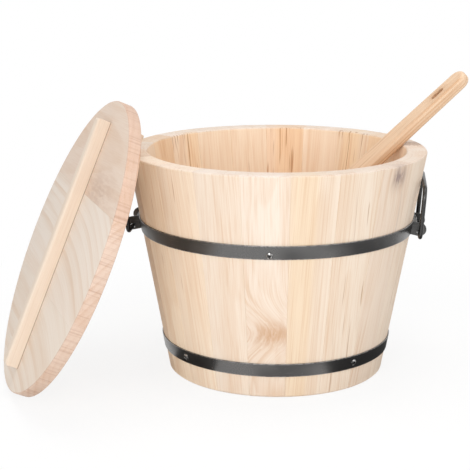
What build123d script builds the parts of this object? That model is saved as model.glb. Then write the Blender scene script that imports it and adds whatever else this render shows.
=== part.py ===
from build123d import *
import os
from math import asin, atan, cos, degrees, hypot, radians, sin, sqrt

# A wooden firkin: a flaring tub of staves held by two steel hoops, with a bail handle on each
# side, a round board lid that leans against the rim, and a ladle that stands in the tub.
# Millimetres, +Z up. The origin is on the floor at the middle of the tub's foot, the handles
# are on the X axis and the front is -Y. Azimuths are degrees from +X towards +Y.

# Tub
TUB_HEIGHT = 232.0
RIM_RADIUS = 155.0
FOOT_RADIUS = 112.5
WALL = 21.0
STAVE_COUNT = 20
RIM_EASE = 2.0
FOOT_EASE = 1.5
SEAM_EASE = 0.4

# Bottom boards in their groove
BASE_HEIGHT = 16.0
BASE_THICKNESS = 12.0
BASE_BOARD_COUNT = 3
GROOVE_DEPTH = 5.0
BASE_PLAY = 0.3

# Hoops
UPPER_HOOP_DROP = 83.6
LOWER_HOOP_Z = 23.2
HOOP_WIDTH = 14.0
HOOP_GAUGE = 1.2
HOOP_FIT = 0.05
HOOP_LAP_AZIMUTH = 112.0
HOOP_LAP_LENGTH = 26.0

# Screws and rivets
SCREW_HEAD_RADIUS = 3.3
SCREW_HEAD_HEIGHT = 2.1
SCREW_SHANK_RADIUS = 1.75
SCREW_LENGTH = 15.0
SCREW_HOLE_PLAY = 0.05
RIVET_HEAD_RADIUS = 2.6
RIVET_HEAD_HEIGHT = 1.3
RIVET_SHANK_RADIUS = 1.5
HEAD_RIM_SHARE = 0.33
HEAD_SEAT = 0.02
UPPER_SCREW_AZIMUTHS = (-88.5, 91.5)
UPPER_SCREW_DROP = 2.6
LOWER_SCREW_AZIMUTHS = (-135.0, -45.0, 45.0, 135.0)

# Ears and bail handles
EAR_SPAN = 46.0
EAR_GAUGE = 1.8
EAR_FOOT_LENGTH = 20.0
EAR_FOOT_INSET = 0.6
EAR_TIP_RADIUS = 7.0
EAR_TIP_RISE = 3.0
EAR_SCREW_SHARE = 0.7
EAR_SCREW_RISE = 2.0
PIVOT_STANDOFF = 8.14
PIVOT_RISE = 2.6
BAIL_ROD = 4.5
BAIL_PLAY = 0.3
BAIL_WIDTH = 97.0
BAIL_HEIGHT = 50.0
BAIL_CORNER = 12.0
BAIL_FOOT_BEND = 5.0
BAIL_JOINT_GAP = 0.6

# Lid
LID_RADIUS = 154.0
LID_THICKNESS = 13.0
LID_EASE = 1.2
LID_BOARD_SEAMS = (-50.0, 56.0)
LID_SPREAD = 101.36
LID_FACING = -158.0
LID_SIDE_SHIFT = 8.0
LID_ROLL = 1.5
LID_BAR_LENGTH = 262.0
LID_BAR_WIDTH = 14.0
LID_BAR_HEIGHT = 14.0
LID_BAR_EDGE = 3.0
LID_BAR_SKEW = 3.6
LID_BATTEN_LENGTH = 264.0
LID_BATTEN_WIDTH = 36.0
LID_BATTEN_DEPTH = 18.5
LID_BATTEN_EDGE = 2.0
LID_SCREW_OFFSETS = (-108.0, -70.0, -24.0, 28.0, 76.0, 121.0)
LID_SCREW_LENGTH = 24.0

# Ladle
LADLE_AZIMUTH = 6.3
LADLE_SIDE = 25.0
LADLE_RISE = 43.6
LADLE_ROLL = 19.0
HANDLE_OUTSIDE = 97.0
HANDLE_WIDTH = 22.0
HANDLE_NECK_WIDTH = 32.0
HANDLE_THICKNESS = 12.0
HANDLE_EDGE = 4.0
BOWL_RADIUS = 42.0
BOWL_DEPTH = 34.0
BOWL_WALL = 6.0
SLOT_LENGTH = 16.0
SLOT_WIDTH = 5.0
SLOT_FROM_END = 35.0

# Gap left where a loose piece leans on another, and how finely the ladle's seat is found
REST_GAP = 0.3
SEAT_PRECISION = 0.001
LIP_STEP = 3

WALL_SLOPE = (RIM_RADIUS - FOOT_RADIUS) / TUB_HEIGHT
WALL_TILT = atan(WALL_SLOPE)
STAVE_ANGLE = 360 / STAVE_COUNT


def outer_radius(z):
    """Outside radius of the tub's wall at a height."""
    return FOOT_RADIUS + WALL_SLOPE * z


def inner_radius(z):
    """Inside radius of the tub's wall at a height."""
    return outer_radius(z) - WALL


def section(points):
    """A closed face in the XZ plane from radius and height pairs."""
    return make_face(Polyline(*points, close=True))


def band(low, high, inset, gauge, arc=360.0):
    """A strip that follows the wall between two heights, inset from the wall's outside."""
    inside_low = outer_radius(low) + inset
    inside_high = outer_radius(high) + inset
    strip = section(
        [
            (inside_low, low),
            (inside_low + gauge, low),
            (inside_high + gauge, high),
            (inside_high, high),
        ]
    )
    return revolve(Plane.XZ * strip, Axis.Z, revolution_arc=arc)


def wall_plane(azimuth, z, inset):
    """A plane on the wall's slope, facing straight out of it."""
    outward = Vector(cos(radians(azimuth)), sin(radians(azimuth)), 0)
    tangent = Vector(-sin(radians(azimuth)), cos(radians(azimuth)), 0)
    place = outward * (outer_radius(z) + inset) + Vector(0, 0, z)
    normal = outward * cos(WALL_TILT) - Vector(0, 0, sin(WALL_TILT))
    return Plane(origin=place, x_dir=tangent, z_dir=normal)


def domed_head(radius, height):
    """A low domed head standing on the XY plane."""
    crown = section_dome(radius, HEAD_RIM_SHARE * height, height)
    return revolve(Plane.XZ * crown, Axis.Z)


def section_dome(radius, rim, height):
    """Half the outline of a domed head: a short upright rim under an arc."""
    rise = height - rim
    dome_radius = (radius**2 + rise**2) / (2 * rise)
    centre_z = height - dome_radius
    half_turn = asin(radius / dome_radius) / 2
    middle = (dome_radius * sin(half_turn), centre_z + dome_radius * cos(half_turn))
    edges = [
        Line((0, 0), (radius, 0)),
        Line((radius, 0), (radius, rim)),
        ThreePointArc((radius, rim), middle, (0, height)),
        Line((0, height), (0, 0)),
    ]
    return make_face(edges)


def fastener(head_radius, head_height, shank_radius, shank_length):
    """A domed head with its shank going down from the XY plane."""
    head = Pos(0, 0, HEAD_SEAT) * domed_head(head_radius, head_height)
    shank = Cylinder(shank_radius, shank_length + HEAD_SEAT, align=(Align.CENTER, Align.CENTER, Align.MAX))
    return head + Pos(0, 0, HEAD_SEAT) * shank


def screw_hole(shank_radius, depth):
    """The clearance hole of a fastener, from just above the XY plane."""
    overshoot = SCREW_HEAD_HEIGHT
    hole = Cylinder(
        shank_radius + SCREW_HOLE_PLAY,
        depth + overshoot + SCREW_HOLE_PLAY,
        align=(Align.CENTER, Align.CENTER, Align.MAX),
    )
    return Pos(0, 0, overshoot) * hole


def azimuth_gap(first, second):
    """The smallest angle between two azimuths."""
    return abs((first - second + 180) % 360 - 180)


# Heights that follow the rim, and the pivots of the bails
UPPER_HOOP_Z = TUB_HEIGHT - UPPER_HOOP_DROP
PIVOT_Z = UPPER_HOOP_Z + PIVOT_RISE
PIVOT_RADIUS = outer_radius(PIVOT_Z) + PIVOT_STANDOFF
BAIL_GRIP_Z = PIVOT_Z + BAIL_HEIGHT

# Where each screw goes: azimuth, height and how far its seat stands off the wall
HOOP_SEAT = HOOP_FIT + HOOP_GAUGE
EAR_SEAT = HOOP_SEAT + HOOP_FIT + EAR_GAUGE
UPPER_HOOP_MIDDLE = UPPER_HOOP_Z + HOOP_WIDTH / 2
LOWER_HOOP_MIDDLE = LOWER_HOOP_Z + HOOP_WIDTH / 2
EAR_REACH = EAR_SPAN / 2
EAR_FOOT_RADIUS = outer_radius(UPPER_HOOP_MIDDLE) + EAR_SEAT
EAR_FOOT_END = degrees(asin(EAR_REACH / EAR_FOOT_RADIUS))
EAR_FOOT_ARC = degrees(EAR_FOOT_LENGTH / EAR_FOOT_RADIUS)
EAR_SCREW_AZIMUTH = EAR_FOOT_END - EAR_FOOT_ARC * EAR_SCREW_SHARE

upper_screw_places = [
    (azimuth, UPPER_HOOP_MIDDLE - UPPER_SCREW_DROP, HOOP_SEAT) for azimuth in UPPER_SCREW_AZIMUTHS
]
lower_screw_places = [(azimuth, LOWER_HOOP_MIDDLE, HOOP_SEAT) for azimuth in LOWER_SCREW_AZIMUTHS]
right_ear_places = [
    (side * EAR_SCREW_AZIMUTH, UPPER_HOOP_MIDDLE + EAR_SCREW_RISE, EAR_SEAT) for side in (-1, 1)
]
left_ear_places = [(azimuth + 180, z, seat) for azimuth, z, seat in right_ear_places]
all_screw_places = upper_screw_places + lower_screw_places + right_ear_places + left_ear_places


def screws(places):
    """Screws seated at a list of places on the tub."""
    screw = fastener(SCREW_HEAD_RADIUS, SCREW_HEAD_HEIGHT, SCREW_SHANK_RADIUS, SCREW_LENGTH)
    return [wall_plane(*place) * screw for place in places]


def screw_holes(places):
    """The holes of those screws."""
    hole = screw_hole(SCREW_SHANK_RADIUS, SCREW_LENGTH)
    return [wall_plane(*place) * hole for place in places]


# Tub wall
def wall_profile():
    """Section of a stave: tapered outline, eased rim and foot, and the groove for the bottom."""
    groove_top = BASE_HEIGHT + BASE_THICKNESS
    groove_radius = inner_radius(groove_top) + GROOVE_DEPTH
    outline = section(
        [
            (inner_radius(0), 0),
            (outer_radius(0), 0),
            (outer_radius(TUB_HEIGHT), TUB_HEIGHT),
            (inner_radius(TUB_HEIGHT), TUB_HEIGHT),
            (inner_radius(groove_top), groove_top),
            (groove_radius, groove_top),
            (groove_radius, BASE_HEIGHT),
            (inner_radius(BASE_HEIGHT), BASE_HEIGHT),
        ]
    )
    outline = fillet(outline.vertices().group_by(Axis.Y)[-1], RIM_EASE)
    return chamfer(outline.vertices().group_by(Axis.Y)[0], FOOT_EASE)


def seam_cutter(azimuth):
    """A square bar laid corner-on along a stave's outer edge, to ease that edge."""
    outward = Vector(cos(radians(azimuth)), sin(radians(azimuth)), 0)
    foot = outward * outer_radius(0)
    up_wall = outward * sin(WALL_TILT) + Vector(0, 0, cos(WALL_TILT))
    side = SEAM_EASE * sqrt(2)
    bar = Rot(0, 0, 45) * Box(side, side, 3 * TUB_HEIGHT)
    return Plane(origin=foot, x_dir=outward - Vector(0, 0, WALL_SLOPE), z_dir=up_wall) * bar


def plain_stave():
    """One stave centred on +X, with its two outer edges eased so that the seams show."""
    stave = revolve(Plane.XZ * wall_profile(), Axis.Z, revolution_arc=STAVE_ANGLE)
    stave = Rot(0, 0, -STAVE_ANGLE / 2) * stave
    return stave - seam_cutter(-STAVE_ANGLE / 2) - seam_cutter(STAVE_ANGLE / 2)


def make_staves():
    """The ring of staves, the first at the front, each drilled for the screws that reach it."""
    blank = plain_stave()
    staves = {}
    for number in range(STAVE_COUNT):
        azimuth = -90 + number * STAVE_ANGLE
        stave = Rot(0, 0, azimuth) * blank
        near = [place for place in all_screw_places if azimuth_gap(place[0], azimuth) < STAVE_ANGLE]
        for hole in screw_holes(near):
            stave = stave - hole
        staves[f"stave_{number + 1:02d}"] = stave
    return staves


def make_base():
    """The round bottom, in boards side by side, resting in the staves' groove."""
    radius = inner_radius(BASE_HEIGHT + BASE_THICKNESS) + GROOVE_DEPTH - BASE_PLAY
    width = 2 * radius / BASE_BOARD_COUNT
    boards = {}
    for number in range(BASE_BOARD_COUNT):
        middle = -radius + (number + 0.5) * width
        outline = Circle(radius) & Pos(middle, 0) * Rectangle(width, 2 * radius)
        boards[f"base_board_{number + 1}"] = extrude(Pos(0, 0, BASE_HEIGHT) * outline, amount=BASE_THICKNESS)
    return boards


# Hoops
def lap_rivet_places(low):
    """Two rivets along the lap of a hoop."""
    radius = outer_radius(low)
    step = degrees(HOOP_LAP_LENGTH / radius) / 4
    seat = HOOP_FIT + 2 * HOOP_GAUGE
    return [(HOOP_LAP_AZIMUTH + side * step, low + HOOP_WIDTH / 2, seat) for side in (-1, 1)]


def make_hoop(low, screw_places):
    """A flat band round the staves, its ends lapped and riveted, drilled for its fasteners."""
    high = low + HOOP_WIDTH
    lap_arc = degrees(HOOP_LAP_LENGTH / outer_radius(low))
    ring = band(low, high, HOOP_FIT, HOOP_GAUGE)
    lap = band(low, high, HOOP_FIT + HOOP_GAUGE, HOOP_GAUGE, lap_arc)
    hoop = ring + Rot(0, 0, HOOP_LAP_AZIMUTH - lap_arc / 2) * lap
    for hole in screw_holes(screw_places):
        hoop = hoop - hole
    rivet_hole = screw_hole(RIVET_SHANK_RADIUS, 2 * HOOP_GAUGE)
    for place in lap_rivet_places(low):
        hoop = hoop - wall_plane(*place) * rivet_hole
    return hoop


def make_hoop_rivets():
    """The rivets of both laps."""
    rivet = fastener(RIVET_HEAD_RADIUS, RIVET_HEAD_HEIGHT, RIVET_SHANK_RADIUS, 2 * HOOP_GAUGE)
    places = lap_rivet_places(UPPER_HOOP_Z) + lap_rivet_places(LOWER_HOOP_Z)
    return [wall_plane(*place) * rivet for place in places]


# Ears and bails, made for the +X side
def back_ear():
    """A bent steel ear at +Y: a foot that lies on the hoop and a leaf that holds the bail's bar."""
    low = UPPER_HOOP_Z + EAR_FOOT_INSET
    high = UPPER_HOOP_Z + HOOP_WIDTH - EAR_FOOT_INSET
    foot = Rot(0, 0, EAR_FOOT_END - EAR_FOOT_ARC) * band(
        low, high, HOOP_SEAT + HOOP_FIT, EAR_GAUGE, EAR_FOOT_ARC
    )
    root = Pos(EAR_FOOT_RADIUS * cos(radians(EAR_FOOT_END)) - EAR_GAUGE, (low + high) / 2)
    lobe = Pos(PIVOT_RADIUS, PIVOT_Z + EAR_TIP_RISE) * Circle(EAR_TIP_RADIUS)
    outline = make_hull(lobe.edges() + (root * Rectangle(2 * EAR_GAUGE, high - low)).edges())
    outline -= Pos(PIVOT_RADIUS, PIVOT_Z) * Circle(BAIL_ROD / 2 + BAIL_PLAY)
    leaf = extrude(Plane.XZ.offset(-EAR_REACH) * outline, amount=EAR_GAUGE)
    inside = section(
        [
            (0, 0),
            (outer_radius(0) + HOOP_SEAT + HOOP_FIT, 0),
            (outer_radius(TUB_HEIGHT) + HOOP_SEAT + HOOP_FIT, TUB_HEIGHT),
            (0, TUB_HEIGHT),
        ]
    )
    ear = foot + (leaf - revolve(Plane.XZ * inside, Axis.Z))
    for hole in screw_holes([place for place in right_ear_places if place[0] > 0]):
        ear = ear - hole
    return ear


def right_bail():
    """A round rod bent to a ring, its ends meeting in the lower bar, which passes through the ears."""
    grip_x = outer_radius(BAIL_GRIP_Z) + BAIL_ROD / 2 + REST_GAP
    leg = Vector(grip_x - PIVOT_RADIUS, 0, BAIL_GRIP_Z - PIVOT_Z)
    pivot = Vector(PIVOT_RADIUS, 0, PIVOT_Z)
    half = Vector(0, BAIL_WIDTH / 2, 0)
    end = Vector(0, BAIL_JOINT_GAP / 2, 0)
    points = [
        pivot - end,
        pivot - half,
        pivot - half + leg,
        pivot + half + leg,
        pivot + half,
        pivot + end,
    ]
    bends = [BAIL_FOOT_BEND, BAIL_CORNER, BAIL_CORNER, BAIL_FOOT_BEND]
    path = FilletPolyline(*points, radius=bends)
    start = Plane(origin=path @ 0, z_dir=path % 0)
    return sweep(start * Circle(BAIL_ROD / 2), path=path)


# Lid
def lid_plane():
    """The lid's outer face as it leans: foot on the floor, batten against the rim's eased edge."""
    lean = atan(LID_SPREAD / TUB_HEIGHT)
    facing = radians(LID_FACING)
    ease_centre = outer_radius(TUB_HEIGHT - RIM_EASE) - RIM_EASE / cos(WALL_TILT)
    rim_reach = ease_centre * cos(lean) + (TUB_HEIGHT - RIM_EASE) * sin(lean) + RIM_EASE
    height = (LID_RADIUS - LID_EASE) * cos(lean) + (LID_THICKNESS - LID_EASE) * sin(lean) + LID_EASE
    stack = LID_THICKNESS + LID_BATTEN_DEPTH
    distance = (rim_reach + REST_GAP + stack - height * sin(lean)) / cos(lean)
    outward = Vector(cos(facing), sin(facing), 0)
    sideways = Vector(-sin(facing), cos(facing), 0)
    centre = outward * distance + sideways * LID_SIDE_SHIFT + Vector(0, 0, height)
    normal = outward * cos(lean) + Vector(0, 0, sin(lean))
    return Plane(origin=centre, x_dir=sideways, z_dir=normal)


def rounded_bar(length, width, height, edge):
    """A bar along Y standing on the XY plane, its upper edges rounded."""
    bar = Box(width, length, height, align=(Align.CENTER, Align.CENTER, Align.MIN))
    return fillet(bar.faces().sort_by(Axis.Z)[-1].edges(), edge)


def make_lid():
    """Three boards side by side, a slim bar across the outer face and a batten behind them."""
    place = lid_plane()
    disc = Pos(0, 0, -LID_THICKNESS) * Cylinder(
        LID_RADIUS, LID_THICKNESS, align=(Align.CENTER, Align.CENTER, Align.MIN)
    )
    disc = fillet(disc.edges().filter_by(GeomType.CIRCLE), LID_EASE)
    batten = Rot(180, 0, 0) * rounded_bar(
        LID_BATTEN_LENGTH, LID_BATTEN_WIDTH, LID_BATTEN_DEPTH, LID_BATTEN_EDGE
    )
    batten = Pos(0, 0, -LID_THICKNESS) * batten
    batten_face = -LID_THICKNESS - LID_BATTEN_DEPTH
    screw = Rot(180, 0, 0) * fastener(
        SCREW_HEAD_RADIUS, SCREW_HEAD_HEIGHT, SCREW_SHANK_RADIUS, LID_SCREW_LENGTH
    )
    hole = Rot(180, 0, 0) * screw_hole(SCREW_SHANK_RADIUS, LID_SCREW_LENGTH)
    spots = [Pos(0, offset, batten_face) for offset in LID_SCREW_OFFSETS]
    turned = place * Rot(0, 0, LID_ROLL)
    pieces = {}
    limits = (-LID_RADIUS,) + LID_BOARD_SEAMS + (LID_RADIUS,)
    for number, (low, high) in enumerate(zip(limits, limits[1:]), start=1):
        slab = Pos(0, (low + high) / 2, -LID_THICKNESS / 2) * Box(2 * LID_RADIUS, high - low, LID_THICKNESS)
        board = disc & slab
        for spot in spots:
            board = board - spot * hole
        pieces[f"lid_board_{number}"] = turned * board
    for spot in spots:
        batten = batten - spot * hole
    pieces["lid_batten"] = turned * batten
    pieces["lid_batten_screws"] = Compound([turned * spot * screw for spot in spots])
    bar = rounded_bar(LID_BAR_LENGTH, LID_BAR_WIDTH, LID_BAR_HEIGHT, LID_BAR_EDGE)
    pieces["lid_bar"] = turned * Rot(0, 0, LID_BAR_SKEW) * bar
    return pieces


# Ladle
def ladle_plane(inside):
    """The ladle's axes at its bowl, with a length of handle inside the rim's inner edge."""
    azimuth = radians(LADLE_AZIMUTH)
    rise = radians(LADLE_RISE)
    roll = radians(LADLE_ROLL)
    forward = Vector(cos(azimuth), sin(azimuth), 0)
    side = Vector(-sin(azimuth), cos(azimuth), 0)
    along = forward * cos(rise) + Vector(0, 0, sin(rise))
    above = forward * -sin(rise) + Vector(0, 0, cos(rise))
    top = above * cos(roll) - side * sin(roll)
    half_width = handle_half_width(inside, inside) - HANDLE_EDGE
    half_thickness = HANDLE_THICKNESS / 2 - HANDLE_EDGE
    corner_drop = half_width * sin(roll) + half_thickness * cos(roll)
    corner_side = LADLE_SIDE - half_width * cos(roll) + half_thickness * sin(roll)
    ease_centre = inner_radius(TUB_HEIGHT - RIM_EASE) + RIM_EASE / cos(WALL_TILT)
    rim_forward = sqrt(ease_centre**2 - corner_side**2)
    rim_point = forward * rim_forward + side * LADLE_SIDE + Vector(0, 0, TUB_HEIGHT - RIM_EASE)
    lift = RIM_EASE + REST_GAP + HANDLE_EDGE + corner_drop
    station = rim_point + above * lift
    bowl_centre = station - along * inside + top * (HANDLE_THICKNESS / 2)
    return Plane(origin=bowl_centre, x_dir=along, z_dir=top)


def handle_half_width(distance, inside):
    """Half the handle's width at a distance from the bowl's centre."""
    share = (distance - BOWL_RADIUS) / (inside + HANDLE_OUTSIDE - BOWL_RADIUS)
    return (HANDLE_NECK_WIDTH + share * (HANDLE_WIDTH - HANDLE_NECK_WIDTH)) / 2


def cap_sphere(radius, depth):
    """Radius of the sphere whose cap has a given rim radius and depth."""
    return (radius**2 + depth**2) / (2 * depth)


def bowl_gap(inside):
    """Smallest gap from the bowl to the tub: its lip to the wall, or its bottom to the boards."""
    place = ladle_plane(inside)
    turns = [radians(turn) for turn in range(0, 360, LIP_STEP)]
    lip = [
        place.origin + place.x_dir * (BOWL_RADIUS * cos(turn)) + place.y_dir * (BOWL_RADIUS * sin(turn))
        for turn in turns
    ]
    to_wall = min(inner_radius(point.Z) - hypot(point.X, point.Y) for point in lip) * cos(WALL_TILT)
    sphere_radius = cap_sphere(BOWL_RADIUS, BOWL_DEPTH)
    sphere_centre = place.origin + place.z_dir * (sphere_radius - BOWL_DEPTH)
    to_base = sphere_centre.Z - sphere_radius - BASE_HEIGHT - BASE_THICKNESS
    return min(to_wall, to_base)


def seated_inside():
    """Handle length inside the rim at which the bowl comes to rest in the tub, found by halving."""
    short = BOWL_RADIUS
    long = 2 * RIM_RADIUS + TUB_HEIGHT
    while long - short > SEAT_PRECISION:
        middle = (short + long) / 2
        if bowl_gap(middle) > REST_GAP:
            short = middle
        else:
            long = middle
    return short


def bowl_cap(radius, depth):
    """A round cup of a sphere's cap below the XY plane."""
    sphere_radius = cap_sphere(radius, depth)
    cap = Pos(0, 0, sphere_radius - depth) * Sphere(sphere_radius)
    below = Box(4 * radius, 4 * radius, 2 * depth, align=(Align.CENTER, Align.CENTER, Align.MAX))
    return cap & below


def make_ladle():
    """A one-piece ladle: a round bowl and a long flat handle with a rounded, slotted end."""
    inside = seated_inside()
    length = inside + HANDLE_OUTSIDE
    root_x = BOWL_RADIUS - BOWL_WALL / 2
    end = Pos(length - HANDLE_WIDTH / 2, 0) * Circle(HANDLE_WIDTH / 2)
    root = Line((root_x, -HANDLE_NECK_WIDTH / 2), (root_x, HANDLE_NECK_WIDTH / 2))
    handle = extrude(make_hull(end.edges() + root.edges()), amount=-HANDLE_THICKNESS)
    rims = handle.edges().group_by(Axis.Z)
    long_edges = [edge for edge in rims[0] + rims[-1] if edge.center().X > root_x + HANDLE_EDGE]
    handle = fillet(long_edges, HANDLE_EDGE)
    slot = Pos(length - SLOT_FROM_END, 0) * SlotOverall(SLOT_LENGTH, SLOT_WIDTH)
    handle -= extrude(slot, amount=-HANDLE_THICKNESS)
    ladle = handle + bowl_cap(BOWL_RADIUS, BOWL_DEPTH)
    ladle -= bowl_cap(BOWL_RADIUS - BOWL_WALL, BOWL_DEPTH - BOWL_WALL)
    return ladle_plane(inside) * ladle


pieces = {}
pieces.update(make_staves())
pieces.update(make_base())
pieces["hoop_upper"] = make_hoop(UPPER_HOOP_Z, upper_screw_places + right_ear_places + left_ear_places)
pieces["hoop_lower"] = make_hoop(LOWER_HOOP_Z, lower_screw_places)
pieces["hoop_rivets"] = Compound(make_hoop_rivets())
pieces["hoop_upper_screws"] = Compound(screws(upper_screw_places))
pieces["hoop_lower_screws"] = Compound(screws(lower_screw_places))

ear = back_ear()
bail = right_bail()
half_turn = Rot(0, 0, 180)
pieces["right_back_ear"] = ear
pieces["right_front_ear"] = mirror(ear, about=Plane.XZ)
pieces["left_front_ear"] = half_turn * ear
pieces["left_back_ear"] = half_turn * mirror(ear, about=Plane.XZ)
pieces["right_ear_screws"] = Compound(screws(right_ear_places))
pieces["left_ear_screws"] = Compound(screws(left_ear_places))
pieces["right_bail"] = bail
pieces["left_bail"] = half_turn * bail
pieces.update(make_lid())
pieces["ladle"] = make_ladle()

os.makedirs("parts", exist_ok=True)
for name, piece in pieces.items():
    export_step(piece, f"parts/{name}.step")
print(f"{len(pieces)} pieces, {seated_inside():.1f} mm of the ladle's handle inside the rim")
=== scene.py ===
# %% [markdown]
# A wooden firkin. The object is a small flaring tub of wooden staves held by two black steel
# hoops, with a bail handle on each side, a round lid of three boards that leans on the rim,
# and a ladle that stands inside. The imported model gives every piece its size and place, so
# this lesson builds finer surfaces around it and gives each one its finish.

# %% Load the frame
from math import atan, cos, pi, radians, sin, tan

import bpy
import numpy as np
from mathutils import Matrix, Vector


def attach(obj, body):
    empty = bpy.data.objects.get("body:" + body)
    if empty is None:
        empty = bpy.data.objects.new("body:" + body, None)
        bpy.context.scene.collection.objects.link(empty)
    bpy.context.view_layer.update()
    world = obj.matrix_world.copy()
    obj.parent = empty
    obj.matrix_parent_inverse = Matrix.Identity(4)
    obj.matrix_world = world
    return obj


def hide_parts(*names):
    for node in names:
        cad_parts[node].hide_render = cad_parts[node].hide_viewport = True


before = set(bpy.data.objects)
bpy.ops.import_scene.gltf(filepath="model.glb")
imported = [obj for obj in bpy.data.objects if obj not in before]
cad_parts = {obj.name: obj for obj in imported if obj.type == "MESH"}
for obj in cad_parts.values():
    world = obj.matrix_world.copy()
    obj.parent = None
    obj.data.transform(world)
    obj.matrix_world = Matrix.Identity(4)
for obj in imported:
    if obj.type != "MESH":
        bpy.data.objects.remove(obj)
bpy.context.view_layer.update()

# %% [markdown]
# The camera stands in front of the tub and a little above it, so that the rim shows as a slim
# oval. A long lens keeps the staves nearly parallel. A camera can be tracked to a target, but
# building its axes from the view direction keeps the horizon level and every number readable.

# %% Camera
CAMERA_PLACE = Vector((0.09766, -1.3966, 0.47549))
CAMERA_VIEW = Vector((-0.0977, 0.9673, -0.2337))
CAMERA_LENS = 104.94
CAMERA_SENSOR = 36.0


def show(name, data):
    """A new object in the scene for a mesh, a camera or a lamp."""
    thing = bpy.data.objects.new(name, data)
    bpy.context.scene.collection.objects.link(thing)
    return thing


def add_camera():
    """A level camera: its back is against the view, its right is level, its up completes them."""
    data = bpy.data.cameras.new("camera")
    data.lens = CAMERA_LENS
    data.sensor_width = CAMERA_SENSOR
    back = -CAMERA_VIEW.normalized()
    right = Vector((0, 0, 1)).cross(back).normalized()
    axes = Matrix((right, back.cross(right), back)).transposed().to_4x4()
    camera = show("camera", data)
    camera.matrix_world = Matrix.Translation(CAMERA_PLACE) @ axes
    bpy.context.scene.camera = camera
    return camera


camera = add_camera()
print("camera at", [round(v, 3) for v in camera.matrix_world.translation])

# %% [markdown]
# The tub's sizes, in metres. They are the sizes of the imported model, so every new surface lies
# where its solid does. The wall is a cone: one function gives its radius at a height, and another
# the directions out of the tub and around it.

# %% Sizes of the tub
TUB_HEIGHT = 0.232
RIM_RADIUS = 0.155
FOOT_RADIUS = 0.1125
WALL = 0.021
STAVE_COUNT = 20
STAVE_ANGLE = 2 * pi / STAVE_COUNT
WALL_SLOPE = (RIM_RADIUS - FOOT_RADIUS) / TUB_HEIGHT
WALL_TILT = atan(WALL_SLOPE)
UP = np.array([0, 0, 1])


def outer_radius(z):
    """Outside radius of the wall at a height: it grows evenly from the foot to the rim."""
    return FOOT_RADIUS + WALL_SLOPE * z


def compass(azimuth):
    """The level directions out of the tub and around it at an azimuth."""
    return np.array([cos(azimuth), sin(azimuth), 0]), np.array([-sin(azimuth), cos(azimuth), 0])


print("wall leans out by", round(np.degrees(WALL_TILT), 1), "degrees")

# %% [markdown]
# Every new surface is a stack of rings: one closed outline, carried along a path and changed on
# the way. It could be modelled by hand and subdivided, but arrays of points keep each shape exact
# and easy to change. One helper turns stacks of rings into a closed mesh, and small ones give the
# curves that many pieces share.

# %% Rings to mesh
SMOOTH_ANGLE = radians(38)


def around_axis(radius, angle, height):
    """Points about an upright axis: x and y are the radius times the angle's cosine and sine."""
    radius, angle, height = np.broadcast_arrays(radius, angle, height)
    return np.stack([radius * np.cos(angle), radius * np.sin(angle), height], axis=-1)


def quarter(steps):
    """Cosines and sines through a quarter turn, for rounded edges."""
    turn = np.linspace(0, pi / 2, steps)
    return np.cos(turn), np.sin(turn)


def smooth(share):
    """A soft rise from nought to one: three times the square less twice the cube."""
    share = np.clip(share, 0, 1)
    return share**2 * (3 - 2 * share)


def new_mesh(name, points, faces):
    """A mesh of an array of points and a list of faces."""
    mesh = bpy.data.meshes.new(name)
    mesh.from_pydata(points.tolist(), [], faces)
    mesh.update()
    return mesh


def stack_mesh(name, stacks):
    """One mesh of one or more stacks of rings, each an array of rings by points by three.

    Quads join each ring to the next, and a fan of triangles closes each end at its middle.
    """
    points = []
    faces = []
    start = 0
    for rings in stacks:
        count, around, _ = rings.shape
        centre = start + count * around
        here = np.arange(start, centre).reshape(count, around)
        after = np.roll(here, -1, axis=1)
        points += [rings.reshape(-1, 3), rings[[0, -1]].mean(axis=1)]
        quads = np.stack([here[:-1], after[:-1], after[1:], here[1:]], axis=-1)
        faces += quads.reshape(-1, 4).tolist()
        faces += np.stack([after[0], here[0], np.full(around, centre)], axis=-1).tolist()
        faces += np.stack([here[-1], after[-1], np.full(around, centre + 1)], axis=-1).tolist()
        start = centre + 2
    mesh = new_mesh(name, np.concatenate(points), faces)
    mesh.shade_smooth()
    mesh.set_sharp_from_angle(angle=SMOOTH_ANGLE)
    return mesh


print("edges stay sharp above", round(np.degrees(SMOOTH_ANGLE)), "degrees")

# %% [markdown]
# A finished mesh becomes a piece of the object. It rides on a body of the imported model, so that a
# handle's mesh swings with its handle, it takes its material, and it stands for the solid that it
# hides. What the shader reads from a piece, such as a tint, could be painted on by hand, but an
# array stored on the vertices is exact.

# %% Pieces
def vectors(items, label):
    """The vector that each vertex or face of a mesh has under a label, as rows of an array."""
    flat = np.empty(len(items) * 3)
    items.foreach_get(label, flat)
    return flat.reshape(-1, 3)


def store(mesh, name, kind, label, values):
    """Stores values on a mesh's vertices, for the shader to read by name."""
    data = mesh.attributes.new(name, kind, "POINT").data
    data.foreach_set(label, np.asarray(values, np.float32).ravel())


def add_piece(mesh, body, slot, material, *nodes):
    """Shows a mesh as a piece that rides on a body and stands for its solids."""
    piece = show(mesh.name, mesh)
    mesh.materials.append(material)
    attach(piece, body)
    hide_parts(*nodes)
    return piece


print("piece helpers ready")

# %% [markdown]
# Wood is the same material all the way through, so its figure should run over an edge from the
# long grain to the end grain. A flat pattern on each face can't do that. Here every wooden piece
# carries its place in the tree it was sawn from: two coordinates across the trunk, counted from
# the pith, and one along it. The shader then grows rings around the pith.

# %% Places in the tree
SAWING_SEED = 11
TRUNK_LENGTH = 40
sawing = np.random.default_rng(SAWING_SEED)


def unit(vector):
    """A vector of length one, or rows of them."""
    vector = np.asarray(vector, float)
    return vector / np.linalg.norm(vector, axis=-1, keepdims=True)


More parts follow.
